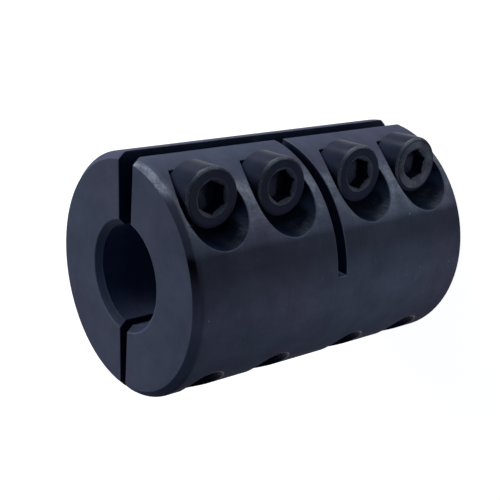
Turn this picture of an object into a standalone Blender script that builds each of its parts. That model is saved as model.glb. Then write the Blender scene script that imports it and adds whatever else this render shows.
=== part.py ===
"""Rigid shaft coupling: two identical clamp halves drawn together by eight cap screws.

The coupling stands on one end. Its axis is Z, and Z = 0 is the end that it stands on. The joint
between the halves lies close to the YZ plane, with the front half at +X and the rear half at -X.
Each half, with the screws that thread into it, is placed by an empty at the bore's centre.
"""
import math

import bmesh
import bpy
from mathutils import Matrix, Vector

# Sleeve, in metres
OUTER_DIAMETER = 0.034
LENGTH = 0.050
BORE_DIAMETER = 0.014
RIM_CHAMFER = 0.0010
BORE_CHAMFER = 0.0009

# Joint between the halves: each joint face lies back from the bore's centre, and the halves
# lean apart, so that the joint is wide on the +Y side and narrow on the -Y side
JOINT_SETBACK = 0.00118
WEDGE_ANGLE = math.radians(4.0)

# Screw pattern along the sleeve. Its middle, where the cross slit is, lies a little above the
# sleeve's middle. Each side of the slit has a pair of screws, a little further out than the
# middle of that half of the sleeve
SCREW_PITCH = 0.01155
PAIR_SHIFT = 0.000425
PATTERN_RISE = 0.00045

# Cross slit, sawn through the side of each half that holds its screw heads
SLIT_WIDTH = 0.0016
SLIT_FLOOR = 0.0013

# Screw seats and tapped holes: how far their centre lines lie in from the sleeve's outside,
# and the height of the seats above the bore's centre
SEAT_LINE_INSET = 0.0045
TAPPED_LINE_INSET = 0.00425
SEAT_HEIGHT = 0.0055

# Cap screws
THREAD_DIAMETER = 0.0049
SCREW_LENGTH = 0.012
TIP_CHAMFER = 0.0006
HEAD_DIAMETER = 0.0082
HEAD_HEIGHT = 0.005
HEAD_RIM_RADIUS = 0.00045
HEAD_FOOT_CHAMFER = 0.0002
HEX_ACROSS_FLATS = 0.004
HEX_DEPTH = 0.0025
HEX_POINT_DEPTH = 0.0007
HEX_MOUTH_DIAMETER = 0.0051

# How far each socket is turned, in the order of the screws along the sleeve
SOCKET_TURNS = [math.radians(angle) for angle in (-12.0, 9.0, -14.0, 2.0)]

# Clearances
SEAT_CLEARANCE = 0.0003
THREAD_CLEARANCE = 0.0003
SHANK_CLEARANCE = 0.0003
HEAD_CLEARANCE = 0.00015

# Facets round each turned form
SLEEVE_SEGMENTS = 96
HOLE_SEGMENTS = 32
SCREW_SEGMENTS = 32
RIM_SEGMENTS = 3

SMOOTH_ANGLE = math.radians(30)
MERGE_DISTANCE = 0.00001
CUTTER_OVERRUN = 0.002

OUTER_RADIUS = OUTER_DIAMETER / 2
BORE_RADIUS = BORE_DIAMETER / 2
THREAD_RADIUS = THREAD_DIAMETER / 2
HEAD_RADIUS = HEAD_DIAMETER / 2
CUTTER_REACH = OUTER_RADIUS + CUTTER_OVERRUN
PATTERN_MIDDLE = LENGTH / 2 + PATTERN_RISE
PAIR_MIDDLE = LENGTH / 4 + PAIR_SHIFT
SEAT_LINE_OFFSET = OUTER_RADIUS - SEAT_LINE_INSET
TAPPED_LINE_OFFSET = OUTER_RADIUS - TAPPED_LINE_INSET

# The front half's screw heads sit where the joint is wide, the rear half's where it is narrow
WIDE_SIDE = 1
NARROW_SIDE = -1


def clear_scene():
    for obj in list(bpy.data.objects):
        bpy.data.objects.remove(obj, do_unlink=True)


def new_collection(name):
    collection = bpy.data.collections.new(name)
    bpy.context.scene.collection.children.link(collection)
    return collection


def principled(name, colour, roughness, metallic):
    material = bpy.data.materials.new(name)
    material.use_nodes = True
    shader = material.node_tree.nodes["Principled BSDF"]
    shader.inputs["Base Color"].default_value = (*colour, 1.0)
    shader.inputs["Roughness"].default_value = roughness
    shader.inputs["Metallic"].default_value = metallic
    return material


def add_object(name, data, collection):
    obj = bpy.data.objects.new(name, data)
    collection.objects.link(obj)
    return obj


def turned(name, profile, segments, collection, closed=False):
    """Turn a profile of (radius, height) points, listed from top to bottom, about Z."""
    mesh = bpy.data.meshes.new(name)
    last = len(profile) - 1
    edges = [(index, index + 1) for index in range(last)]
    if closed:
        edges.append((last, 0))
    mesh.from_pydata([(radius, 0.0, height) for radius, height in profile], edges, [])
    obj = add_object(name, mesh, collection)
    screw = obj.modifiers.new("turn", "SCREW")
    screw.axis = "Z"
    screw.angle = math.tau
    screw.steps = segments
    screw.render_steps = segments
    screw.use_merge_vertices = True
    screw.merge_threshold = MERGE_DISTANCE
    return obj


def block(name, low, high, collection):
    """Make a box from its lowest to its highest corner."""
    low = Vector(low)
    high = Vector(high)
    mesh = bpy.data.meshes.new(name)
    form = bmesh.new()
    stretch = Matrix.Diagonal((*(high - low), 1.0))
    bmesh.ops.create_cube(form, size=1.0, matrix=Matrix.Translation((low + high) / 2) @ stretch)
    form.to_mesh(mesh)
    form.free()
    return add_object(name, mesh, collection)


def cut(target, cutter):
    cutter.display_type = "WIRE"
    cutter.hide_render = True
    cutter.parent = target
    boolean = target.modifiers.new(cutter.name, "BOOLEAN")
    boolean.operation = "DIFFERENCE"
    boolean.solver = "EXACT"
    boolean.object = cutter


def finish(obj, material):
    """Fix the modifiers' result as the object's own mesh, shaded smooth between its edges."""
    graph = bpy.context.evaluated_depsgraph_get()
    mesh = bpy.data.meshes.new_from_object(obj.evaluated_get(graph))
    mesh.name = obj.name
    obj.modifiers.clear()
    obj.data = mesh
    mesh.shade_smooth()
    mesh.set_sharp_from_angle(angle=SMOOTH_ANGLE)
    mesh.materials.append(material)


def screw_heights():
    """Give the height of each screw above the end that the coupling stands on."""
    heights = []
    for pair_middle in (PATTERN_MIDDLE - PAIR_MIDDLE, PATTERN_MIDDLE + PAIR_MIDDLE):
        heights.append(pair_middle - SCREW_PITCH / 2)
        heights.append(pair_middle + SCREW_PITCH / 2)
    return heights


def screw_foot(side):
    """Give the distance from the bore's centre to the underside of a screw's head.

    It is measured along the screw, which leans over its seat by the wedge angle.
    """
    seat = SEAT_HEIGHT + side * TAPPED_LINE_OFFSET * math.sin(WEDGE_ANGLE)
    tilt_gap = HEAD_RADIUS * math.tan(WEDGE_ANGLE)
    return seat / math.cos(WEDGE_ANGLE) + tilt_gap + SEAT_CLEARANCE


def screw_wander(side, reach):
    """Give how far a screw lies outside its seat's centre line, at a reach along the screw."""
    height = side * reach * math.sin(WEDGE_ANGLE)
    return height + TAPPED_LINE_OFFSET * math.cos(WEDGE_ANGLE) - SEAT_LINE_OFFSET


def along_x(height, across):
    """Place a form turned about Z so that its axis points to +X."""
    return Matrix.Translation((0.0, across, height)) @ Matrix.Rotation(math.pi / 2, 4, "Y")


def make_half(name, material, parts, cutters):
    """Model a clamp half in its own frame: the bore along Z, the half at +X, its seats at +Y."""
    half = turned(name, [
        (OUTER_RADIUS - RIM_CHAMFER, LENGTH),
        (OUTER_RADIUS, LENGTH - RIM_CHAMFER),
        (OUTER_RADIUS, RIM_CHAMFER),
        (OUTER_RADIUS - RIM_CHAMFER, 0.0),
        (BORE_RADIUS + BORE_CHAMFER, 0.0),
        (BORE_RADIUS, BORE_CHAMFER),
        (BORE_RADIUS, LENGTH - BORE_CHAMFER),
        (BORE_RADIUS + BORE_CHAMFER, LENGTH),
    ], SLEEVE_SEGMENTS, parts, closed=True)

    cut(half, block(
        "joint_cutter",
        (-CUTTER_REACH, -CUTTER_REACH, -CUTTER_OVERRUN),
        (JOINT_SETBACK, CUTTER_REACH, LENGTH + CUTTER_OVERRUN),
        cutters,
    ))

    head_top_wander = screw_wander(NARROW_SIDE, screw_foot(NARROW_SIDE) + HEAD_HEIGHT)
    seat_radius = HEAD_RADIUS + abs(head_top_wander) + HEAD_CLEARANCE
    shank_wander = screw_wander(WIDE_SIDE, screw_foot(WIDE_SIDE))
    shank_hole_radius = THREAD_RADIUS + abs(shank_wander) + SHANK_CLEARANCE
    seat_profile = [
        (0.0, CUTTER_REACH),
        (seat_radius, CUTTER_REACH),
        (seat_radius, SEAT_HEIGHT),
        (shank_hole_radius, SEAT_HEIGHT),
        (shank_hole_radius, 0.0),
        (0.0, 0.0),
    ]
    tapped_radius = THREAD_RADIUS + THREAD_CLEARANCE
    tapped_profile = [
        (0.0, CUTTER_REACH),
        (tapped_radius, CUTTER_REACH),
        (tapped_radius, 0.0),
        (0.0, 0.0),
    ]
    for number, height in enumerate(screw_heights(), start=1):
        seat = turned(f"seat_cutter_{number}", seat_profile, HOLE_SEGMENTS, cutters)
        seat.matrix_world = along_x(height, SEAT_LINE_OFFSET)
        cut(half, seat)
        tapped = turned(f"tapped_hole_cutter_{number}", tapped_profile, HOLE_SEGMENTS, cutters)
        tapped.matrix_world = along_x(height, -TAPPED_LINE_OFFSET)
        cut(half, tapped)

    cut(half, block(
        "slit_cutter",
        (0.0, SLIT_FLOOR, PATTERN_MIDDLE - SLIT_WIDTH / 2),
        (CUTTER_REACH, CUTTER_REACH, PATTERN_MIDDLE + SLIT_WIDTH / 2),
        cutters,
    ))
    finish(half, material)
    return half


def head_rim():
    """Round the edge between the head's face and its side."""
    points = []
    for step in range(RIM_SEGMENTS + 1):
        angle = math.pi / 2 * (1 - step / RIM_SEGMENTS)
        points.append((
            HEAD_RADIUS - HEAD_RIM_RADIUS * (1 - math.cos(angle)),
            HEAD_HEIGHT - HEAD_RIM_RADIUS * (1 - math.sin(angle)),
        ))
    return points


def make_screw(name, material, parts, cutters):
    """Model a cap screw along Z, with the underside of its head at Z = 0."""
    screw = turned(name, [
        (0.0, HEAD_HEIGHT),
        *head_rim(),
        (HEAD_RADIUS, HEAD_FOOT_CHAMFER),
        (HEAD_RADIUS - HEAD_FOOT_CHAMFER, 0.0),
        (THREAD_RADIUS, 0.0),
        (THREAD_RADIUS, TIP_CHAMFER - SCREW_LENGTH),
        (THREAD_RADIUS - TIP_CHAMFER, -SCREW_LENGTH),
        (0.0, -SCREW_LENGTH),
    ], SCREW_SEGMENTS, parts)

    corner_radius = HEX_ACROSS_FLATS / math.sqrt(3)
    hex_floor = HEAD_HEIGHT - HEX_DEPTH
    cut(screw, turned("hex_cutter", [
        (0.0, HEAD_HEIGHT + CUTTER_OVERRUN),
        (corner_radius, HEAD_HEIGHT + CUTTER_OVERRUN),
        (corner_radius, hex_floor),
        (0.0, hex_floor - HEX_POINT_DEPTH),
    ], 6, cutters))

    mouth_radius = HEX_MOUTH_DIAMETER / 2
    cut(screw, turned("mouth_cutter", [
        (0.0, HEAD_HEIGHT + CUTTER_OVERRUN),
        (mouth_radius + CUTTER_OVERRUN, HEAD_HEIGHT + CUTTER_OVERRUN),
        (0.0, HEAD_HEIGHT - mouth_radius),
    ], SCREW_SEGMENTS, cutters))
    finish(screw, material)
    return screw


def add_screws(head_side, tapped_half, side, mesh, parts):
    """Thread a row of screws into a half, with their heads in the other half."""
    for number, height in enumerate(screw_heights(), start=1):
        screw = add_object(f"{head_side}_screw_{number}", mesh, parts)
        screw.parent = tapped_half
        place = Matrix.Translation((-screw_foot(side), -TAPPED_LINE_OFFSET, height))
        point_back = Matrix.Rotation(-math.pi / 2, 4, "Y")
        socket_turn = Matrix.Rotation(SOCKET_TURNS[number - 1], 4, "Z")
        screw.matrix_local = place @ point_back @ socket_turn


def add_lean(name, angle, parts):
    """Add the empty that carries a half, at the bore's centre and turned about Z."""
    lean = add_object(name, None, parts)
    lean.rotation_euler = (0.0, 0.0, angle)
    return lean


def build():
    clear_scene()
    parts = new_collection("rigid_shaft_coupling")
    cutters = new_collection("cutters")
    half_steel = principled("blackened_steel", (0.036, 0.039, 0.05), 0.38, 1.0)
    screw_steel = principled("blackened_screw_steel", (0.05, 0.052, 0.062), 0.42, 1.0)

    front_lean = add_lean("front_lean", -WEDGE_ANGLE / 2, parts)
    rear_lean = add_lean("rear_lean", math.pi + WEDGE_ANGLE / 2, parts)

    front_half = make_half("front_half", half_steel, parts, cutters)
    front_half.parent = front_lean
    rear_half = add_object("rear_half", front_half.data, parts)
    rear_half.parent = rear_lean

    pattern_screw = make_screw("cap_screw", screw_steel, parts, cutters)
    screw_mesh = pattern_screw.data
    bpy.data.objects.remove(pattern_screw, do_unlink=True)
    add_screws("front", rear_lean, WIDE_SIDE, screw_mesh, parts)
    add_screws("rear", front_lean, NARROW_SIDE, screw_mesh, parts)


build()
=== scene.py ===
import math

import bmesh
import bpy
import numpy as np
from mathutils import Matrix, Vector


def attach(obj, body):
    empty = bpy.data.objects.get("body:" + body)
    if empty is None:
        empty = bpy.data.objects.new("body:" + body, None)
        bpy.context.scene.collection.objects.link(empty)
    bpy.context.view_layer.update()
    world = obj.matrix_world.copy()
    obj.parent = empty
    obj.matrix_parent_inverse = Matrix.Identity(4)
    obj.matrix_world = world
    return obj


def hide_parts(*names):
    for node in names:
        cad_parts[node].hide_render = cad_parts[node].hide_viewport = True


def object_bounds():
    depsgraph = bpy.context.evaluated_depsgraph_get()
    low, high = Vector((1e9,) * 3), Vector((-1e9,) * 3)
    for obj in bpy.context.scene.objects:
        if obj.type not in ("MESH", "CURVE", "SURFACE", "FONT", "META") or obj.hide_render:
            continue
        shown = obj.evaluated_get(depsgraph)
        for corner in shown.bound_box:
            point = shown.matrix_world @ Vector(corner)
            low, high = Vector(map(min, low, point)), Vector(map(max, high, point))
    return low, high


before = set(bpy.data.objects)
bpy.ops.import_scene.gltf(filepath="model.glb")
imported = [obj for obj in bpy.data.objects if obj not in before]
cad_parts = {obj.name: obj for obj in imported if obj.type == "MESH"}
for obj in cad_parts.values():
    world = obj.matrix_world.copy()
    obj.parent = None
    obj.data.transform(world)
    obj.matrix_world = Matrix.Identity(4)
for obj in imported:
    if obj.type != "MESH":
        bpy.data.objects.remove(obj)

CAD_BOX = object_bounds()

# Sleeve, in metres, as in the frame
OUTER_RADIUS = CAD_BOX[1].x
LENGTH = CAD_BOX[1].z
BORE_RADIUS = 0.007
RIM_CHAMFER = 0.0010
RIM_ROUND = 0.0008
FACE_ROUND = 0.0002
BORE_CHAMFER = 0.0009

# Joint between the halves, which lean apart on the wide side
WIDE_SIDE = 1
NARROW_SIDE = -1
JOINT_SETBACK = 0.00118
WEDGE_ANGLE = math.radians(4.0)

# Screw pattern and cross slit
SCREW_PITCH = 0.01155
PATTERN_RISE = 0.00045
PAIR_SHIFT = 0.000425
PATTERN_MIDDLE = LENGTH / 2 + PATTERN_RISE
PAIR_MIDDLE = LENGTH / 4 + PAIR_SHIFT
SEAT_LINE_INSET = 0.0045
TAPPED_LINE_INSET = 0.00425
SEAT_LINE = OUTER_RADIUS - SEAT_LINE_INSET
TAPPED_LINE = OUTER_RADIUS - TAPPED_LINE_INSET
SLIT_WIDTH = 0.0016
SLIT_FLOOR = 0.0013
SEAT_HEIGHT = 0.0055
SEAT_RADIUS = 0.00479
SHANK_HOLE_RADIUS = 0.003457
TAPPED_RADIUS = 0.00275
TAPPED_CREST_RADIUS = 0.0025
TAPPED_RUN_OUT = 0.0004
SLEEVE_WALL = 0.00008

# Cap screws
THREAD_RADIUS = 0.00245
THREAD_ROOT_RADIUS = 0.00196
THREAD_PITCH = 0.0008
THREAD_CREST = 1 / 8
THREAD_ROOT = 1 / 4
PLAIN_TURNS = 0.4
SCREW_LENGTH = 0.012
TIP_CHAMFER = 0.0006
HEAD_RADIUS = 0.0041
HEAD_HEIGHT = 0.005
HEAD_RIM_RADIUS = 0.00055
HEAD_FACE_RADIUS = HEAD_RADIUS - HEAD_RIM_RADIUS
HEX_ACROSS_FLATS = 0.004
HEX_DEPTH = 0.0025
HEX_POINT_DEPTH = 0.0007
HEX_FLOOR_STEP = 0.0001
HEX_MOUTH_RADIUS = 0.00255
HEX_LIP = 0.00005
SOCKET_MOUTH_DEPTH = 0.0005
FOOT_CHAMFER = 0.0002
SEAT_CLEARANCE = 0.0003
SOCKET_TURNS = [math.radians(angle) for angle in (-12.0, 9.0, -14.0, 2.0)]
# The screw whose head face and socket mouth carry a painted glint
GLINTING_SCREW = "front_screw_1"

# Fineness of the meshes
SLEEVE_SEGMENTS = 124
HOLE_SEGMENTS = 96
SCREW_SEGMENTS = 72
TAPPED_SEGMENTS = 64
FACE_ROUND_STEPS = 3
RIM_ROUND_STEPS = 6
HEAD_RIM_STEPS = 8
ROWS_PER_PITCH = 12
TAPPED_ROWS_PER_PITCH = 8
HEX_POINT_ROWS = (0.35, 0.7, 0.96)
HEAD_SIDE_ROWS = (0.7, 0.45, 0.2)
FLAT_ROWS = (0.35, 0.7)
OVERRUN = 0.002
MERGE_DISTANCE = 0.000001
TINY_EDGE = 0.00004
EDGE_ROUND = 0.00013
SHARP_ANGLE = math.radians(25)
SURFACE_TOLERANCE = 0.00003
SURFACE_AGREEMENT = 0.998

# Order of the half's finishes
TURNED, ROUNDED, FACED, BORED, MILLED, SAWN, TAPPED, SEATED = range(8)

# View, as in the photo: the camera looks down on the end face and the front half's screws
LENS_MM = 74.95
SENSOR_MM = 36.0
CAMERA_PLACE = (0.112808, 0.049185, 0.120826)
CAMERA_AIM = (-0.001418, -0.000566, 0.027028)
CAMERA_ROLL = math.radians(-3.01)
CLIP_START = 0.01
CLIP_END = 10.0

# Colours, as linear red, green and blue
HALF_TONE = (0.038, 0.044, 0.067)
MILLED_TONE = (0.015, 0.021, 0.040)
# Seats and tapped holes: a tone painted darker than the milled one, as their shade
RECESS_SHADE_TONE = (0.006, 0.011, 0.024)
SAWN_TONE = (0.008, 0.013, 0.028)
BORED_TONE = (0.045, 0.058, 0.098)
SCREW_TONE = (0.0080, 0.0101, 0.0200)
TEAL_TINGE = (0.92, 1.02, 1.0, 1.0)
VIOLET_TINGE = (1.10, 0.98, 1.02, 1.0)
# Bare steel, for worn edges, socket mouths and head rims, and for painted highlights and glints
BARE_STEEL_AND_HIGHLIGHT = (0.27, 0.30, 0.34, 1.0)
DUST = (0.25, 0.26, 0.28, 1.0)
BLACK = (0.0, 0.0, 0.0, 1.0)
WHITE = (1.0, 1.0, 1.0, 1.0)

# Gloss of the coat, as its roughness and its specular level
TURNED_ROUGHNESS = 0.56
FACED_ROUGHNESS = 0.44
EDGE_ROUGHNESS = 0.40
BORED_ROUGHNESS = 0.40
MILLED_ROUGHNESS = 0.38
SAWN_ROUGHNESS = 0.42
SCREW_ROUGHNESS = 0.32
TURNED_SPECULAR = 0.0015
FACED_SPECULAR = 0.010
EDGE_SPECULAR = 0.03
COAT_SPECULAR = 0.03
SCREW_SPECULAR = 0.014

# Depth of the tool marks, in metres
SMOOTH_GRAIN = 0.000006
FACED_GRAIN = 0.000010
SCREW_GRAIN = 0.000010
TURNED_GRAIN = 0.000012
MILLED_GRAIN = 0.000016

# How closely marks follow each other along X, Y and Z, as noise cells to the metre
TURNED_MARKS = (70.0, 70.0, 5200.0)
MILLED_MARKS = (2600.0, 900.0, 900.0)
SAWN_MARKS = (400.0, 400.0, 4200.0)
FACED_RINGS = 6500.0
FACED_DRIFT = 90.0
BLOTCHES = (230.0, 230.0, 230.0)
CLOUDS = (75.0, 75.0, 75.0)
FINE_GRAIN = (4200.0, 4200.0, 4200.0)
STREAKS = (500.0, 2400.0, 2400.0)
HAIRLINES = (260.0, 5200.0, 420.0)
CROSS_HAIRLINES = (3900.0, 300.0, 700.0)
# Waves along the edge of the painted shade band below the seats
BAND_PAINTED_SHADE_WAVES = (160.0, 160.0, 160.0)
SPECKS_PER_METRE = 650.0

# The part of a noise's values over which a mark comes in
BLOTCH_SPREAD = (0.3, 0.7)
CLOUD_SPREAD = (0.35, 0.65)
MARK_SPREAD = (0.35, 0.75)
STREAK_SPREAD = (0.35, 0.65)
WORN_AND_LIT_SPREAD = (0.62, 0.95)
HAIRLINE_SPREAD = (0.67, 0.72)
CROSS_HAIRLINE_SPREAD = (0.68, 0.73)
SPECK_RADIUS = (0.05, 0.09)
SPECK_CHOICE = (0.955, 0.965)

# How strongly marks show in the coat's colour, gloss and relief
DARK_SHARE = 0.82
LIGHT_SHARE = 1.20
BRIGHT_SHARE = 1.35
SCRATCHED_SHARE = 2.5
MARK_STRENGTH = 0.35
HAIRLINE_STRENGTH = 0.35
HAIRLINE_COLOUR = 0.25
DUST_STRENGTH = 0.35
MARK_GLOSS = (-0.05, 0.05)
BLOTCH_GLOSS = (-0.04, 0.06)
FINE_RELIEF = 0.35
HAIRLINE_RELIEF = -0.5
RELIEF_STRENGTH = 0.5
FINE_IN_WORN_AND_LIT = 0.5
LEAST_WORN_AND_LIT = 0.15
LEAST_STREAK = 0.35

# Bare steel mixed into the coat, from 0 where the coat is whole to 1 where it is bare: worn edges and
# socket mouths, painted highlights and glints round the seats, on the rims and on one head, and head
# rims worn with a painted highlight
EDGE_WEAR = 0.02
HEAD_RIM_WEAR_AND_HIGHLIGHT = 0.38
SOCKET_WEAR = 0.15
HEAD_GLINT = 0.2
SEAT_GLINT = 0.24
SEAT_HIGHLIGHT = 0.45
RIM_HIGHLIGHT = 0.7

# Painted shade, from 0 where the coat keeps its tone to 1 where it is painted black: on the rims and in
# a band below the seats
RIM_SHADE = 0.5
BAND_PAINTED_SHADE = 0.46

# Across a half, towards its seats: where each band of painted highlight and painted shade starts, is
# full, falls and stops
SEAT_HIGHLIGHT_BAND = (0.0068, 0.0115, 0.0134, 0.0152)
LIT_RIM_BAND = (0.0130, 0.0143, 0.0160, 0.0166)
SHADED_RIM_BAND = (0.0010, 0.0060, 0.0125, 0.0138)
BAND_PAINTED_SHADE_SPAN = (-0.0015, 0.0046, 0.0067, 0.0077)
BAND_PAINTED_SHADE_WANDER = 0.0012

# In from the end faces: where the rims' painted highlight and painted shade start and are full
RIM_INSETS = (0.00085, 0.0006)

# Out from each seat's wall: where the painted highlight round it starts to fade and stops
SEAT_HIGHLIGHT_REACH = (0.0008, 0.0030)

# Painted glints on each seat's wall: below the seat's line, out from the joint, and along the sleeve
GLINT_DROP = (0.0017, 0.0027)
GLINT_DEPTH = (0.0098, 0.0118)
GLINT_BAND = (-0.0046, -0.0036, -0.0014, -0.0004)

# Rim of a screw's head, worn a little all round and with a painted highlight: in from the head's corner,
# and towards the lip of its seat
HEAD_RIM_INSETS = (0.00044, 0.00035)
HEAD_LIP_SLOPE = 0.6
HEAD_LIP_REACH = (-0.0005, 0.0032)
LEAST_HEAD_WEAR = 0.1

# Light: each lamp's name, place, aim, two sides in metres, and power in watts
ROOM_LIGHT = 0.1
ROOM_COLOUR = (0.5, 0.8, 1.5, 1.0)
FLOOR_RADIUS = 3.0
FLOOR_SEGMENTS = 128
FLOOR_DROP = 0.00002
FLOOR_TONE = 0.2
FLOOR_SHADE = 0.25
FLOOR_GLOW = 0.97
MIDDLE = (0.0, 0.0, 0.025)
LAMPS = (
    ("key", (-0.211, 0.453, 0.042), MIDDLE, (0.3, 0.08), 3.75),
    ("back", (-0.135, 0.105, 0.296), MIDDLE, (0.15, 0.15), 0.90),
    ("fill", (0.0886, 0.0156, 0.004), (0.0, 0.0, 0.004), (0.08, 0.007), 0.049),
)


# Body of a half

def link(obj):
    bpy.context.scene.collection.objects.link(obj)
    return obj


def turned(name, profile, segments, closed=False):
    """Turn a profile of (radius, height) points, listed from top to bottom, about Z."""
    mesh = bpy.data.meshes.new(name)
    last = len(profile) - 1
    edges = [(index, index + 1) for index in range(last)]
    if closed:
        edges.append((last, 0))
    mesh.from_pydata([(radius, 0.0, height) for radius, height in profile], edges, [])
    obj = link(bpy.data.objects.new(name, mesh))
    screw = obj.modifiers.new("turn", "SCREW")
    screw.angle = math.tau
    screw.steps = segments
    screw.render_steps = segments
    screw.use_merge_vertices = True
    screw.merge_threshold = MERGE_DISTANCE
    return obj


def block(name, low, high):
    low = Vector(low)
    high = Vector(high)
    mesh = bpy.data.meshes.new(name)
    form = bmesh.new()
    stretch = Matrix.Diagonal((*(high - low), 1.0))
    bmesh.ops.create_cube(form, size=1.0, matrix=Matrix.Translation((low + high) / 2) @ stretch)
    form.to_mesh(mesh)
    form.free()
    return link(bpy.data.objects.new(name, mesh))


def cut(target, cutter):
    boolean = target.modifiers.new(cutter.name, "BOOLEAN")
    boolean.operation = "DIFFERENCE"
    boolean.solver = "EXACT"
    boolean.object = cutter
    return cutter


def evaluated_mesh(obj):
    graph = bpy.context.evaluated_depsgraph_get()
    return bpy.data.meshes.new_from_object(obj.evaluated_get(graph))


def screw_heights():
    """Where the four screws of a half lie along the sleeve."""
    heights = []
    for pair_middle in (PATTERN_MIDDLE - PAIR_MIDDLE, PATTERN_MIDDLE + PAIR_MIDDLE):
        heights.append(pair_middle - SCREW_PITCH / 2)
        heights.append(pair_middle + SCREW_PITCH / 2)
    return heights


def along_x(height, across):
    return Matrix.Translation((0.0, across, height)) @ Matrix.Rotation(math.pi / 2, 4, "Y")


def arc(centre, radius, start, stop, steps):
    """Points of (radius, height) round an arc, its angles counted from the outward direction."""
    points = []
    for step in range(steps + 1):
        angle = math.radians(start + (stop - start) * step / steps)
        points.append((
            centre[0] + radius * math.cos(angle),
            centre[1] + radius * math.sin(angle),
        ))
    return points


def outer_profile():
    """The sleeve's outer side, from the upper end face to the lower, its rims eased by hand."""
    slope = math.tan(math.pi / 8)
    face_centre = (OUTER_RADIUS - RIM_CHAMFER - FACE_ROUND * slope, LENGTH - FACE_ROUND)
    rim_centre = (OUTER_RADIUS - RIM_ROUND, LENGTH - RIM_CHAMFER - RIM_ROUND * slope)
    upper = arc(face_centre, FACE_ROUND, 90, 45, FACE_ROUND_STEPS)
    upper += arc(rim_centre, RIM_ROUND, 45, 0, RIM_ROUND_STEPS)
    lower = [(radius, LENGTH - height) for radius, height in reversed(upper)]
    return upper + lower


def cut_half():
    """The half's body before its edges are rounded, in its own frame."""
    half = turned("half_body", [
        *outer_profile(),
        (BORE_RADIUS + BORE_CHAMFER, 0.0),
        (BORE_RADIUS, BORE_CHAMFER),
        (BORE_RADIUS, LENGTH - BORE_CHAMFER),
        (BORE_RADIUS + BORE_CHAMFER, LENGTH),
    ], SLEEVE_SEGMENTS, closed=True)
    reach = OUTER_RADIUS + OVERRUN
    cutters = [cut(half, block(
        "joint_cutter",
        (-reach, -reach, -OVERRUN),
        (JOINT_SETBACK, reach, LENGTH + OVERRUN),
    ))]
    seat_profile = [
        (0.0, reach),
        (SEAT_RADIUS, reach),
        (SEAT_RADIUS, SEAT_HEIGHT),
        (SHANK_HOLE_RADIUS, SEAT_HEIGHT),
        (SHANK_HOLE_RADIUS, 0.0),
        (0.0, 0.0),
    ]
    tapped_profile = [
        (0.0, reach),
        (TAPPED_RADIUS, reach),
        (TAPPED_RADIUS, 0.0),
        (0.0, 0.0),
    ]
    for height in screw_heights():
        for profile, across in ((seat_profile, SEAT_LINE), (tapped_profile, -TAPPED_LINE)):
            cutter = turned("hole_cutter", profile, HOLE_SEGMENTS)
            cutter.matrix_world = along_x(height, across)
            cutters.append(cut(half, cutter))
    cutters.append(cut(half, block(
        "slit_cutter",
        (0.0, SLIT_FLOOR, PATTERN_MIDDLE - SLIT_WIDTH / 2),
        (reach, reach, PATTERN_MIDDLE + SLIT_WIDTH / 2),
    )))
    mesh = evaluated_mesh(half)
    for obj in [half, *cutters]:
        bpy.data.objects.remove(obj, do_unlink=True)
    return mesh


def under_head(edge):
    """Whether an edge is the rim of a shank hole, where a thin web leaves no room for rounding."""
    middle = (edge.verts[0].co + edge.verts[1].co) / 2
    nearest = min(math.hypot(middle.y - SEAT_LINE, middle.z - height) for height in screw_heights())
    on_floor = abs(middle.x - SEAT_HEIGHT) < EDGE_ROUND
    return on_floor and nearest < SHANK_HOLE_RADIUS + MERGE_DISTANCE


def round_edges(mesh):
    form = bmesh.new()
    form.from_mesh(mesh)
    bmesh.ops.remove_doubles(form, verts=form.verts, dist=TINY_EDGE)
    sharp = []
    for edge in form.edges:
        if len(edge.link_faces) != 2 or edge.calc_face_angle(0.0) < SHARP_ANGLE:
            continue
        if not under_head(edge):
            sharp.append(edge)
    bmesh.ops.bevel(
        form,
        geom=sharp,
        offset=EDGE_ROUND,
        offset_type="OFFSET",
        affect="EDGES",
        segments=2,
        profile=0.5,
        loop_slide=False,
        clamp_overlap=False,
        miter_outer="SHARP",
        miter_inner="SHARP",
        material=ROUNDED,
    )
    form.to_mesh(mesh)
    form.free()


# Threads and cap screws

def thread_depth(along, turns):
    """How deep a helical V thread is cut at a place, from 0 on its crest to 1 in its root."""
    from_crest = np.abs((along / THREAD_PITCH - turns / math.tau) % 1.0 - 0.5)
    flank = (1 - THREAD_CREST - THREAD_ROOT) / 2
    return np.clip((from_crest - THREAD_CREST / 2) / flank, 0.0, 1.0)


def tap_hole(form, height):
    """Line a tapped hole with its thread: a closed sleeve sunk into the wall, up to the outside."""
    turns = np.arange(TAPPED_SEGMENTS) * math.tau / TAPPED_SEGMENTS
    across = TAPPED_LINE - TAPPED_RADIUS * np.cos(turns)
    start = JOINT_SETBACK + TAPPED_RUN_OUT
    mouth = np.sqrt(OUTER_RADIUS**2 - across**2) - TAPPED_RUN_OUT
    count = round((mouth.max() - start) / THREAD_PITCH * TAPPED_ROWS_PER_PITCH)
    root = TAPPED_RADIUS + SLEEVE_WALL / 2
    rings = []
    for row in range(count + 1):
        along = start + (mouth - start) * row / count
        run_out = np.clip(np.minimum(along - start, mouth - along) / THREAD_PITCH, 0.0, 1.0)
        ridge = (1 - thread_depth(along, turns)) * run_out
        rings.append((root - (root - TAPPED_CREST_RADIUS) * ridge, along))
    back = np.full(TAPPED_SEGMENTS, root + SLEEVE_WALL)
    rings += [(back, mouth), (back, np.full(TAPPED_SEGMENTS, start))]
    loops = []
    for radius, along in rings:
        loops.append([
            form.verts.new((x, r * math.cos(turn) - TAPPED_LINE, r * math.sin(turn) + height))
            for x, r, turn in zip(along, radius, turns)
        ])
    for index, loop in enumerate(loops):
        before = loops[index - 1]
        for step in range(TAPPED_SEGMENTS):
            corners = (before[step - 1], loop[step - 1], loop[step], before[step])
            face = form.faces.new(corners)
            face.material_index = TAPPED


def tap_holes(mesh):
    form = bmesh.new()
    form.from_mesh(mesh)
    for height in screw_heights():
        tap_hole(form, height)
    form.to_mesh(mesh)
    form.free()


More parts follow.
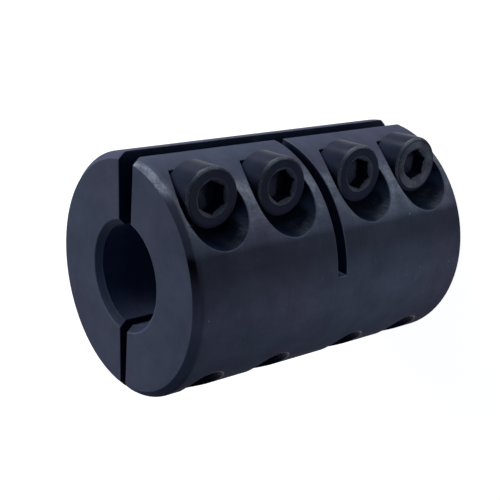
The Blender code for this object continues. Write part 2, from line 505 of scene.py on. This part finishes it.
def ring_mesh(name, rows, segments):
    """Close a mesh over rings of (radius, height), from a pole at the top to one at the bottom."""
    form = bmesh.new()
    turns = [math.tau * step / segments for step in range(segments)]
    rings = []
    for radius, height in rows:
        radii = np.broadcast_to(radius, (segments,))
        heights = np.broadcast_to(height, (segments,))
        if radii.max() < MERGE_DISTANCE:
            rings.append([form.verts.new((0.0, 0.0, heights[0]))] * segments)
            continue
        rings.append([
            form.verts.new((r * math.cos(turn), r * math.sin(turn), h))
            for r, h, turn in zip(radii, heights, turns)
        ])
    for upper, lower in zip(rings, rings[1:]):
        for step in range(segments):
            following = (step + 1) % segments
            corners = [upper[step], lower[step], lower[following], upper[following]]
            face = list(dict.fromkeys(corners))
            form.faces.new(face).smooth = True
    mesh = bpy.data.meshes.new(name)
    form.to_mesh(mesh)
    form.free()
    mesh.set_sharp_from_angle(angle=SHARP_ANGLE)
    return mesh


def thread_rows(turns):
    """The threaded shank, from the head's underside to its chamfered tip."""
    depth = THREAD_RADIUS - THREAD_ROOT_RADIUS
    tip = -SCREW_LENGTH
    count = round(SCREW_LENGTH / THREAD_PITCH * ROWS_PER_PITCH)
    rows = []
    for row in range(1, count):
        height = tip * row / count
        run_out = min(1.0, max(0.0, -height / THREAD_PITCH - PLAIN_TURNS))
        radius = THREAD_RADIUS - depth * thread_depth(height, turns) * run_out
        chamfer = THREAD_RADIUS - TIP_CHAMFER + (height - tip)
        rows.append((np.minimum(radius, chamfer), height))
    return rows


def socket_rows(turns):
    """The hexagon socket, from the point of its floor to its mouth in the head's face."""
    sixth = math.tau / 6
    hexagon = HEX_ACROSS_FLATS / 2 / np.cos((turns + sixth / 2) % sixth - sixth / 2)
    floor = HEAD_HEIGHT - HEX_DEPTH
    mouth_foot = HEAD_HEIGHT - (HEX_MOUTH_RADIUS - hexagon)
    rows = [(0.0, floor - HEX_POINT_DEPTH)]
    rows += [(hexagon * share, floor - HEX_POINT_DEPTH * (1 - share)) for share in HEX_POINT_ROWS]
    rows += [(hexagon, floor + HEX_FLOOR_STEP)]
    rows += [(hexagon, floor + (mouth_foot - floor) * share) for share in FLAT_ROWS]
    rows += [(hexagon, mouth_foot - HEX_LIP), (hexagon + HEX_LIP, mouth_foot + HEX_LIP)]
    rows += [(HEX_MOUTH_RADIUS - HEX_LIP, HEAD_HEIGHT - HEX_LIP)]
    rows += [(HEX_MOUTH_RADIUS + HEX_LIP, HEAD_HEIGHT)]
    return rows


def screw_mesh():
    """A cap screw along Z, with the underside of its head at Z = 0."""
    turns = np.arange(SCREW_SEGMENTS) * math.tau / SCREW_SEGMENTS
    face_width = HEAD_FACE_RADIUS - HEX_MOUTH_RADIUS
    rim_centre = (HEAD_FACE_RADIUS, HEAD_HEIGHT - HEAD_RIM_RADIUS)
    rows = socket_rows(turns)
    rows += [(HEX_MOUTH_RADIUS + face_width * share, HEAD_HEIGHT) for share in FLAT_ROWS]
    rows += arc(rim_centre, HEAD_RIM_RADIUS, 90, 0, HEAD_RIM_STEPS)
    rows += [(HEAD_RADIUS, HEAD_HEIGHT * share) for share in HEAD_SIDE_ROWS]
    rows += [(HEAD_RADIUS, FOOT_CHAMFER), (HEAD_RADIUS - FOOT_CHAMFER, 0.0), (THREAD_RADIUS, 0.0)]
    rows += thread_rows(turns)
    rows += [(THREAD_RADIUS - TIP_CHAMFER, -SCREW_LENGTH), (0.0, -SCREW_LENGTH)]
    return ring_mesh("cap_screw", rows, SCREW_SEGMENTS)


# Surfaces of a half, for its finishes and its shading

def about_z(radius, slope, offset, facing):
    """A turned surface, where radius + slope * height is constant, facing outward or inward."""
    def surface(points):
        across = np.hypot(points[:, 0], points[:, 1])
        scale = 1 / math.hypot(1, slope)
        distance = (across + slope * points[:, 2] - radius - offset) * scale
        safe = np.maximum(across, MERGE_DISTANCE)
        normal = np.stack([
            points[:, 0] / safe, points[:, 1] / safe, np.full(len(points), float(slope)),
        ], axis=1)
        return np.abs(distance), facing * scale * normal
    return surface


def hole_along_x(radius, across, height):
    def surface(points):
        offset = points - np.array((0.0, across, height))
        reach = np.maximum(np.hypot(offset[:, 1], offset[:, 2]), MERGE_DISTANCE)
        normal = np.stack([np.zeros(len(points)), -offset[:, 1] / reach, -offset[:, 2] / reach], axis=1)
        return np.abs(reach - radius), normal
    return surface


def plane(axis, place, facing):
    def surface(points):
        normal = np.zeros((len(points), 3))
        normal[:, axis] = facing
        return np.abs(points[:, axis] - place), normal
    return surface


def half_surfaces():
    """Every surface that the half was turned, milled, bored or sawn to."""
    surfaces = [
        (TURNED, about_z(OUTER_RADIUS, 0, 0.0, 1)),
        (TURNED, about_z(OUTER_RADIUS, 1, LENGTH - RIM_CHAMFER, 1)),
        (TURNED, about_z(OUTER_RADIUS, -1, -RIM_CHAMFER, 1)),
        (BORED, about_z(BORE_RADIUS, 0, 0.0, -1)),
        (MILLED, about_z(BORE_RADIUS, -1, BORE_CHAMFER - LENGTH, -1)),
        (MILLED, about_z(BORE_RADIUS, 1, BORE_CHAMFER, -1)),
        (FACED, plane(2, 0.0, -1)),
        (FACED, plane(2, LENGTH, 1)),
        (SAWN, plane(0, JOINT_SETBACK, -1)),
        (SEATED, plane(0, SEAT_HEIGHT, 1)),
        (SAWN, plane(1, SLIT_FLOOR, 1)),
        (SAWN, plane(2, PATTERN_MIDDLE - SLIT_WIDTH / 2, 1)),
        (SAWN, plane(2, PATTERN_MIDDLE + SLIT_WIDTH / 2, -1)),
    ]
    for height in screw_heights():
        surfaces.append((SEATED, hole_along_x(SEAT_RADIUS, SEAT_LINE, height)))
        surfaces.append((MILLED, hole_along_x(SHANK_HOLE_RADIUS, SEAT_LINE, height)))
        surfaces.append((MILLED, hole_along_x(TAPPED_RADIUS, -TAPPED_LINE, height)))
    return surfaces


def finish_faces(mesh, surfaces):
    """Give each face the finish and shading of the surface it was cut from, and blend the edges."""
    points = np.array([vertex.co for vertex in mesh.vertices])
    found = [surface(points) for finish, surface in surfaces]
    distances = np.array([distance for distance, normal in found])
    normals = np.array([normal for distance, normal in found])
    loop_normals = np.zeros((len(mesh.loops), 3))
    settled = {}
    blended = []
    for face in mesh.polygons:
        corners = list(face.vertices)
        facing = np.array(face.normal)
        misses = distances[:, corners].max(axis=1)
        misses[normals[:, corners].mean(axis=1) @ facing < SURFACE_AGREEMENT] = math.inf
        surface = misses.argmin()
        if face.material_index in (ROUNDED, TAPPED) or misses[surface] > SURFACE_TOLERANCE:
            blended.append(face)
            continue
        face.material_index = surfaces[surface][0]
        for loop, corner in zip(face.loop_indices, corners):
            loop_normals[loop] = normals[surface, corner]
            settled.setdefault(corner, {})[surface] = normals[surface, corner]
    averages = np.zeros((len(points), 3))
    for face in blended:
        for corner in face.vertices:
            averages[corner] += np.array(face.normal) * face.area
    for face in blended:
        facing = np.array(face.normal)
        for loop, corner in zip(face.loop_indices, face.vertices):
            choices = list(settled.get(corner, {}).values())
            if choices:
                loop_normals[loop] = max(choices, key=lambda normal: normal @ facing)
            else:
                loop_normals[loop] = averages[corner]
    lengths = np.maximum(np.linalg.norm(loop_normals, axis=1, keepdims=True), MERGE_DISTANCE)
    mesh.shade_smooth()
    mesh.normals_split_custom_set((loop_normals / lengths).tolist())


# Shader nodes

def add(tree, kind, inputs=(), **settings):
    """Add a shader node, with its settings and its inputs as values or as links."""
    node = tree.nodes.new(kind)
    for setting, value in settings.items():
        setattr(node, setting, value)
    for socket, value in dict(inputs).items():
        if isinstance(value, bpy.types.NodeSocket):
            tree.links.new(value, node.inputs[socket])
        else:
            node.inputs[socket].default_value = value
    return node


def empty_tree(owner):
    """The nodes of a material or a world, all taken out."""
    owner.use_nodes = True
    owner.node_tree.nodes.clear()
    return owner.node_tree


def maths(tree, operation, *values):
    return add(tree, "ShaderNodeMath", dict(enumerate(values)), operation=operation).outputs["Value"]


def times(tree, first, second):
    return maths(tree, "MULTIPLY", first, second)


def plus(tree, first, second):
    return maths(tree, "ADD", first, second)


def absolute(tree, value):
    return maths(tree, "ABSOLUTE", value)


def hypotenuse(tree, first, second):
    sides = add(tree, "ShaderNodeCombineXYZ", {"X": first, "Y": second}).outputs["Vector"]
    return add(tree, "ShaderNodeVectorMath", {0: sides}, operation="LENGTH").outputs["Value"]


def ranged(tree, value, low, high, to_low, to_high):
    return add(tree, "ShaderNodeMapRange", {
        "Value": value, "From Min": low, "From Max": high, "To Min": to_low, "To Max": to_high,
    }).outputs["Result"]


def rising(tree, value, start, full):
    return ranged(tree, value, start, full, 0.0, 1.0)


def falling(tree, value, full, stop):
    return ranged(tree, value, full, stop, 1.0, 0.0)


def band(tree, value, start, full, fall, stop):
    """1 between full and fall, easing to 0 at start and at stop."""
    return times(tree, rising(tree, value, start, full), falling(tree, value, fall, stop))


def mixed(tree, share, first, second):
    return add(tree, "ShaderNodeMix", {0: share, 6: first, 7: second}, data_type="RGBA").outputs[2]


def own_place(tree):
    return add(tree, "ShaderNodeTexCoord").outputs["Object"]


def own_axes(tree):
    """How far a point lies along the piece's own X, Y and Z."""
    split = add(tree, "ShaderNodeSeparateXYZ", {"Vector": own_place(tree)})
    return split.outputs["X"], split.outputs["Y"], split.outputs["Z"]


def stretched(tree, scale):
    """The piece's own coordinates, stretched along its axes."""
    return add(tree, "ShaderNodeMapping", {"Vector": own_place(tree), "Scale": scale}).outputs["Vector"]


def noise(tree, vector, detail=3.0, roughness=0.55):
    return add(tree, "ShaderNodeTexNoise", {
        "Vector": vector, "Scale": 1.0, "Detail": detail, "Roughness": roughness,
    }).outputs["Fac"]


# Tool marks, which differ with the way a surface was made

def turned_marks(tree):
    return stretched(tree, TURNED_MARKS)


def milled_marks(tree):
    return stretched(tree, MILLED_MARKS)


def sawn_marks(tree):
    return stretched(tree, SAWN_MARKS)


def faced_marks(tree):
    """Coordinates that repeat round the axis, so that a fine noise in them makes tool rings."""
    x, y, _ = own_axes(tree)
    return add(tree, "ShaderNodeCombineXYZ", {
        "X": times(tree, hypotenuse(tree, x, y), FACED_RINGS),
        "Y": times(tree, x, FACED_DRIFT),
        "Z": times(tree, y, FACED_DRIFT),
    }).outputs["Vector"]


# Dust, hairlines, worn head rims, painted highlights and glints, and painted shade

def specks(tree):
    """A few specks of dust, each well under a millimetre across."""
    cells = add(tree, "ShaderNodeTexVoronoi", {"Vector": own_place(tree), "Scale": SPECKS_PER_METRE})
    near = falling(tree, cells.outputs["Distance"], *SPECK_RADIUS)
    channels = add(tree, "ShaderNodeSeparateColor", {"Color": cells.outputs["Color"]})
    chosen = rising(tree, channels.outputs["Red"], *SPECK_CHOICE)
    return times(tree, near, chosen)


def scratches(tree):
    """Faint hairlines in two directions."""
    first = noise(tree, stretched(tree, HAIRLINES), detail=2.0)
    second = noise(tree, stretched(tree, CROSS_HAIRLINES), detail=2.0)
    first = rising(tree, first, *HAIRLINE_SPREAD)
    second = rising(tree, second, *CROSS_HAIRLINE_SPREAD)
    return times(tree, plus(tree, first, second), HAIRLINE_STRENGTH)


def streaks(tree):
    """Short strokes along the screws, which break up the painted highlights and glints."""
    grain = noise(tree, stretched(tree, STREAKS), detail=4.0, roughness=0.65)
    return ranged(tree, grain, *STREAK_SPREAD, LEAST_STREAK, 1.0)


def half_place(tree):
    """How far a point lies across, towards its half's seats, and along the sleeve."""
    x, y, z = own_axes(tree)
    return times(tree, y, maths(tree, "SIGN", x)), z


def rim(tree, height):
    """1 on the rims at both ends, fading into the outer side."""
    from_middle = absolute(tree, plus(tree, height, -LENGTH / 2))
    return rising(tree, from_middle, *[LENGTH / 2 - inset for inset in RIM_INSETS])


def half_highlights(tree):
    """Painted highlights, as bare steel in the coat, round the seats and on the rims above them."""
    across, height = half_place(tree)
    from_pair = plus(tree, absolute(tree, plus(tree, height, -PATTERN_MIDDLE)), -PAIR_MIDDLE)
    from_seat = plus(tree, absolute(tree, from_pair), -SCREW_PITCH / 2)
    reach = hypotenuse(tree, from_seat, plus(tree, across, -SEAT_LINE))
    start, stop = [SEAT_RADIUS + outside for outside in SEAT_HIGHLIGHT_REACH]
    near = ranged(tree, reach, start, stop, SEAT_HIGHLIGHT, 0.0)
    near = times(tree, near, band(tree, across, *SEAT_HIGHLIGHT_BAND))
    on_rim = rim(tree, height)
    near = times(tree, near, falling(tree, on_rim, 0.0, 1.0))
    lit_rim = times(tree, on_rim, band(tree, across, *LIT_RIM_BAND))
    return times(tree, plus(tree, near, times(tree, lit_rim, RIM_HIGHLIGHT)), streaks(tree))


def half_painted_shade(tree):
    """Painted shade: how much darker the coat is painted on the rims below the painted highlights, and
    in a band below the seats.
    """
    across, height = half_place(tree)
    waves = plus(tree, noise(tree, stretched(tree, BAND_PAINTED_SHADE_WAVES)), -0.5)
    wandering = plus(tree, across, times(tree, waves, BAND_PAINTED_SHADE_WANDER))
    band_painted_shade = band(tree, wandering, *BAND_PAINTED_SHADE_SPAN)
    below = band(tree, across, *SHADED_RIM_BAND)
    shaded_rim = times(tree, times(tree, rim(tree, height), below), RIM_SHADE)
    return plus(tree, shaded_rim, times(tree, band_painted_shade, BAND_PAINTED_SHADE))


def seat_glints(tree):
    """A painted glint on each seat's wall, by its lip and towards the lower end."""
    across, height = half_place(tree)
    depth = absolute(tree, own_axes(tree)[0])
    below = rising(tree, across, *[SEAT_LINE - drop for drop in GLINT_DROP])
    by_lip = times(tree, below, ranged(tree, depth, *GLINT_DEPTH, 0.0, SEAT_GLINT))
    beside = 0.0
    for seat in screw_heights():
        beside = plus(tree, beside, band(tree, height, *[seat + edge for edge in GLINT_BAND]))
    return times(tree, times(tree, by_lip, beside), streaks(tree))


def head_rim_wear_and_highlight(tree):
    """A screw head's rounded rim, worn a little all round, with a painted highlight towards the lip of
    its seat; the screw lies along X.
    """
    x, y, z = own_axes(tree)
    reach = hypotenuse(tree, y, z)
    corner = HEAD_RADIUS + HEAD_HEIGHT
    towards_corner = plus(tree, reach, absolute(tree, x))
    crown = rising(tree, towards_corner, *[corner - inset for inset in HEAD_RIM_INSETS])
    wide = rising(tree, reach, HEX_MOUTH_RADIUS, HEAD_FACE_RADIUS)
    across, height = half_place(tree)
    towards_lip = plus(tree, across, times(tree, height, HEAD_LIP_SLOPE))
    by_lip = ranged(tree, towards_lip, *HEAD_LIP_REACH, LEAST_HEAD_WEAR, 1.0)
    return times(tree, times(tree, crown, wide), times(tree, by_lip, HEAD_RIM_WEAR_AND_HIGHLIGHT))


# Finishes

def shaded(tone, share):
    return (*[channel * share for channel in tone], 1.0)


def black_oxide(name, grain, tone, roughness, depth, specular=COAT_SPECULAR, wear_and_highlight=0.0, shade=None):
    """Blackened steel: a dark bluish coat over tool marks, with blotches, hairlines and dust."""
    material = bpy.data.materials.new(name)
    material.use_nodes = True
    tree = material.node_tree
    shader = tree.nodes["Principled BSDF"]
    marks = noise(tree, grain(tree), detail=4.0)
    blotches = noise(tree, stretched(tree, BLOTCHES), detail=4.0, roughness=0.6)
    clouds = noise(tree, stretched(tree, CLOUDS), detail=2.0)
    fine = noise(tree, stretched(tree, FINE_GRAIN), detail=3.0)
    lines = scratches(tree)

    blotched = rising(tree, blotches, *BLOTCH_SPREAD)
    coat = mixed(tree, blotched, shaded(tone, DARK_SHARE), shaded(tone, LIGHT_SHARE))
    tinge = mixed(tree, rising(tree, clouds, *CLOUD_SPREAD), TEAL_TINGE, VIOLET_TINGE)
    coat = add(tree, "ShaderNodeVectorMath", {0: coat, 1: tinge}, operation="MULTIPLY").outputs["Vector"]
    marked = times(tree, rising(tree, marks, *MARK_SPREAD), MARK_STRENGTH)
    coat = mixed(tree, marked, coat, shaded(tone, BRIGHT_SHARE))
    coat = mixed(tree, times(tree, lines, HAIRLINE_COLOUR), coat, shaded(tone, SCRATCHED_SHARE))
    # Painted shade: the coat is painted towards black where the mask says
    if shade:
        coat = mixed(tree, shade(tree), coat, BLACK)
    # Bare steel mixed in: worn places, and painted highlights and glints
    if wear_and_highlight:
        patches = plus(tree, blotches, times(tree, fine, FINE_IN_WORN_AND_LIT))
        worn_and_lit = ranged(tree, patches, *WORN_AND_LIT_SPREAD, LEAST_WORN_AND_LIT, 1.0)
        wear_and_highlight = wear_and_highlight(tree) if callable(wear_and_highlight) else wear_and_highlight
        coat = mixed(tree, times(tree, worn_and_lit, wear_and_highlight), coat, BARE_STEEL_AND_HIGHLIGHT)
    coat = mixed(tree, times(tree, specks(tree), DUST_STRENGTH), coat, DUST)
    tree.links.new(coat, shader.inputs["Base Color"])

    mark_gloss = ranged(tree, marks, *BLOTCH_SPREAD, *MARK_GLOSS)
    blotch_gloss = ranged(tree, blotches, *BLOTCH_SPREAD, *BLOTCH_GLOSS)
    gloss = plus(tree, plus(tree, mark_gloss, blotch_gloss), roughness)
    tree.links.new(gloss, shader.inputs["Roughness"])

    height = plus(tree, marks, times(tree, fine, FINE_RELIEF))
    height = plus(tree, height, times(tree, lines, HAIRLINE_RELIEF))
    relief = add(tree, "ShaderNodeBump", {
        "Height": height, "Strength": RELIEF_STRENGTH, "Distance": depth,
    })
    tree.links.new(relief.outputs["Normal"], shader.inputs["Normal"])
    shader.inputs["Specular IOR Level"].default_value = specular
    return material


def half_finishes():
    """A half's finishes, in the order of their numbers."""
    return [
        # The turned side carries painted highlights round the seats and on the rims, and painted shade
        # on the rims and in a band below the seats
        black_oxide("turned_black_oxide", turned_marks, HALF_TONE, TURNED_ROUGHNESS, TURNED_GRAIN,
            TURNED_SPECULAR, half_highlights, half_painted_shade),
        black_oxide("rounded_edge_black_oxide", milled_marks, HALF_TONE, EDGE_ROUGHNESS, SMOOTH_GRAIN,
            EDGE_SPECULAR, EDGE_WEAR),
        black_oxide("faced_black_oxide", faced_marks, HALF_TONE, FACED_ROUGHNESS, FACED_GRAIN,
            FACED_SPECULAR),
        black_oxide("bored_black_oxide", turned_marks, BORED_TONE, BORED_ROUGHNESS, TURNED_GRAIN),
        black_oxide("milled_black_oxide", milled_marks, MILLED_TONE, MILLED_ROUGHNESS, MILLED_GRAIN),
        black_oxide("sawn_black_oxide", sawn_marks, SAWN_TONE, SAWN_ROUGHNESS, MILLED_GRAIN),
        # Seats and tapped holes take a tone painted dark as their shade, and the seats carry painted
        # glints
        black_oxide("tapped_black_oxide", milled_marks, RECESS_SHADE_TONE, MILLED_ROUGHNESS, SMOOTH_GRAIN),
        black_oxide("seat_black_oxide", milled_marks, RECESS_SHADE_TONE, MILLED_ROUGHNESS, MILLED_GRAIN,
            wear_and_highlight=seat_glints),
    ]


def screw_finish(name, wear_and_highlight):
    return black_oxide(name, milled_marks, SCREW_TONE, SCREW_ROUGHNESS, SCREW_GRAIN,
        SCREW_SPECULAR, wear_and_highlight)


def give_finish(mesh, finish, reach):
    """Give a screw head's face and its socket's mouth a finish, out to a distance from the axis."""
    mesh.materials.append(finish)
    for face in mesh.polygons:
        near = math.hypot(face.center.x, face.center.y) < reach
        if near and face.center.z > HEAD_HEIGHT - SOCKET_MOUTH_DEPTH:
            face.material_index = len(mesh.materials) - 1


# Pieces in their places

def lean(side):
    """Place a half, and what threads into it, about the bore's centre."""
    turn = -WEDGE_ANGLE / 2 if side == WIDE_SIDE else math.pi + WEDGE_ANGLE / 2
    return Matrix.Rotation(turn, 4, "Z")


def screw_foot(side):
    """How far a screw head's underside lies from the bore's centre, resting on its leaning seat."""
    seat = SEAT_HEIGHT + side * TAPPED_LINE * math.sin(WEDGE_ANGLE)
    tilt_gap = HEAD_RADIUS * math.tan(WEDGE_ANGLE)
    return seat / math.cos(WEDGE_ANGLE) + tilt_gap + SEAT_CLEARANCE


def place_piece(name, mesh, matrix, node):
    """Place a copy of the mesh, turned into its pose so that its axes stay the frame's."""
    mesh = mesh.copy()
    mesh.transform(matrix.to_3x3().to_4x4())
    piece = link(bpy.data.objects.new(name, mesh))
    piece.matrix_world = Matrix.Translation(matrix.translation)
    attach(piece, "root")
    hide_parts(node)


def make_halves():
    mesh = cut_half()
    for finish in half_finishes():
        mesh.materials.append(finish)
    round_edges(mesh)
    tap_holes(mesh)
    finish_faces(mesh, half_surfaces())
    place_piece("front_clamp_half", mesh, lean(WIDE_SIDE), "front_half")
    place_piece("rear_clamp_half", mesh, lean(NARROW_SIDE), "rear_half")


def make_screws():
    mesh = screw_mesh()
    # Each head's rim is worn a little all round and carries a painted highlight towards its seat's lip
    mesh.materials.append(screw_finish("screw_black_oxide", head_rim_wear_and_highlight))
    give_finish(mesh, screw_finish("socket_mouth_black_oxide", SOCKET_WEAR), HEX_MOUTH_RADIUS)
    # One screw's head face and socket mouth carry a painted glint, as patchy bare steel
    glinting_mesh = mesh.copy()
    give_finish(glinting_mesh, screw_finish("head_glint_black_oxide", HEAD_GLINT), HEAD_FACE_RADIUS)
    point_back = Matrix.Rotation(-math.pi / 2, 4, "Y")
    for side, half in ((WIDE_SIDE, "front"), (NARROW_SIDE, "rear")):
        for number, height in enumerate(screw_heights(), start=1):
            place = Matrix.Translation((-screw_foot(side), -TAPPED_LINE, height))
            socket_turn = Matrix.Rotation(SOCKET_TURNS[number - 1], 4, "Z")
            matrix = lean(-side) @ place @ point_back @ socket_turn
            node = f"{half}_screw_{number}"
            form = glinting_mesh if node == GLINTING_SCREW else mesh
            place_piece(f"{half}_cap_screw_{number}", form, matrix, node)


# Floor, room, lamps and camera

def seen_directly(tree):
    """1 where the camera sees a thing itself or in a gloss, 0 where it only gives light."""
    path = add(tree, "ShaderNodeLightPath")
    seen = maths(tree, "MAXIMUM", path.outputs["Is Camera Ray"], path.outputs["Is Glossy Ray"])
    return maths(tree, "MAXIMUM", seen, path.outputs["Is Transmission Ray"])


def make_floor():
    """A white floor that shows as white and still takes the coupling's shadow."""
    bpy.ops.mesh.primitive_circle_add(vertices=FLOOR_SEGMENTS, radius=FLOOR_RADIUS, fill_type="NGON")
    floor = bpy.context.object
    floor.name = "floor"
    floor.location.z = -FLOOR_DROP
    material = bpy.data.materials.new("white_floor")
    tree = empty_tree(material)
    plain = add(tree, "ShaderNodeBsdfDiffuse", {"Color": (FLOOR_TONE,) * 3 + (1.0,)})
    shadowed = add(tree, "ShaderNodeBsdfDiffuse", {"Color": (FLOOR_SHADE,) * 3 + (1.0,)})
    glow = add(tree, "ShaderNodeEmission", {"Color": WHITE, "Strength": FLOOR_GLOW})
    white = add(tree, "ShaderNodeAddShader", {0: shadowed.outputs[0], 1: glow.outputs[0]})
    both = add(tree, "ShaderNodeMixShader", {
        0: seen_directly(tree), 1: plain.outputs[0], 2: white.outputs[0],
    })
    add(tree, "ShaderNodeOutputMaterial", {"Surface": both.outputs[0]})
    floor.data.materials.append(material)


def make_world():
    world = bpy.data.worlds.new("studio")
    bpy.context.scene.world = world
    tree = empty_tree(world)
    room = add(tree, "ShaderNodeBackground", {"Color": ROOM_COLOUR, "Strength": ROOM_LIGHT})
    white = add(tree, "ShaderNodeBackground", {"Color": WHITE, "Strength": 1.0})
    both = add(tree, "ShaderNodeMixShader", {
        0: seen_directly(tree), 1: room.outputs[0], 2: white.outputs[0],
    })
    add(tree, "ShaderNodeOutputWorld", {"Surface": both.outputs[0]})


def make_lamps():
    for name, place, aim, size, power in LAMPS:
        data = bpy.data.lights.new(name, "AREA")
        data.shape = "RECTANGLE"
        data.size, data.size_y = size
        data.energy = power
        lamp = link(bpy.data.objects.new(name, data))
        lamp.location = place
        lamp.rotation_mode = "QUATERNION"
        lamp.rotation_quaternion = (Vector(aim) - Vector(place)).to_track_quat("-Z", "Y")


def make_camera():
    data = bpy.data.cameras.new("camera")
    data.lens = LENS_MM
    data.sensor_width = SENSOR_MM
    data.clip_start = CLIP_START
    data.clip_end = CLIP_END
    camera = link(bpy.data.objects.new("camera", data))
    back = (Vector(CAMERA_PLACE) - Vector(CAMERA_AIM)).normalized()
    right = Vector((0.0, 1.0, 0.0)).cross(back).normalized()
    level = Matrix((right, back.cross(right), back)).transposed()
    camera.rotation_mode = "QUATERNION"
    camera.rotation_quaternion = (level @ Matrix.Rotation(-CAMERA_ROLL, 3, "Z")).to_quaternion()
    camera.location = CAMERA_PLACE
    bpy.context.scene.camera = camera


bpy.context.scene.view_settings.view_transform = "Standard"
make_camera()
make_world()
make_lamps()
make_floor()
make_halves()
make_screws()
